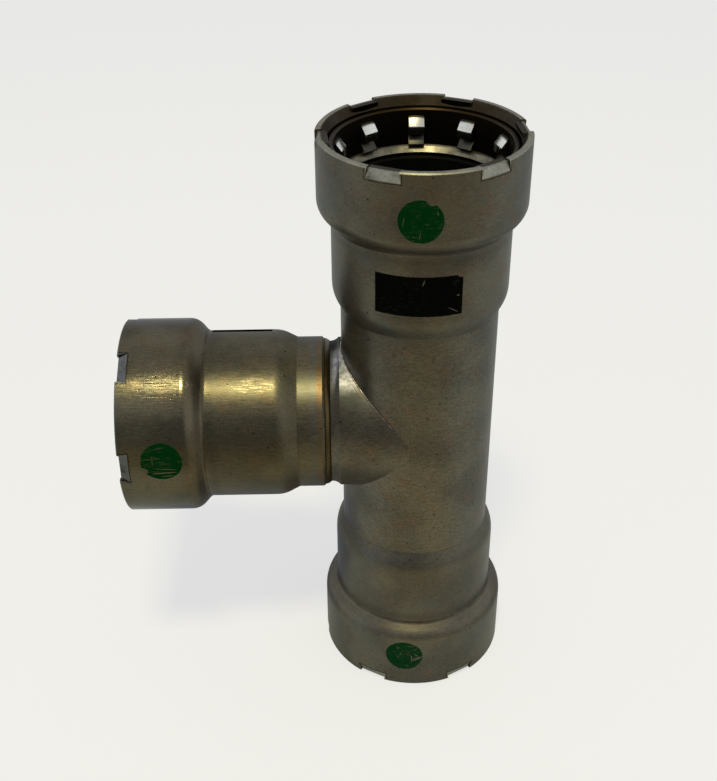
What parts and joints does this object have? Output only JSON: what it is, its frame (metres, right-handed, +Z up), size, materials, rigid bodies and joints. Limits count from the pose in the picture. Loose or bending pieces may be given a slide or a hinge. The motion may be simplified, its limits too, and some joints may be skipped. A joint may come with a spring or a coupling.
{
  "type": "press fit tee",
  "caption": "Equal press fit tee of formed steel tube, with a crimped mouth, a toothed grip ring, a separator ring and a seal in each press socket.",
  "frame": {"origin": "on the run axis at the pipe stop of the lower socket, where its straight bore ends", "axes": "+Z up the run axis towards the upper mouth, -X along the branch, +Y away from the side that the picture shows"},
  "size_m": [0.0719, 0.036, 0.1108],
  "materials": {
    "body_steel": "dull olive grey coating, stained and scratched",
    "weld_steel": "heat tinted",
    "grip_stainless": "bright hardened stainless",
    "separator_stainless": "bright stainless",
    "seal_rubber": "matte"
  },
  "bodies": {
    "root": {"run_body": "body_steel", "branch_socket": "body_steel", "branch_weld": "weld_steel", "upper_grip_ring": "grip_stainless", "lower_grip_ring": "grip_stainless", "branch_grip_ring": "grip_stainless", "upper_separator_ring": "separator_stainless", "lower_separator_ring": "separator_stainless", "branch_separator_ring": "separator_stainless", "upper_sealing_ring": "seal_rubber", "lower_sealing_ring": "seal_rubber", "branch_sealing_ring": "seal_rubber"}
  },
  "joints": []
}
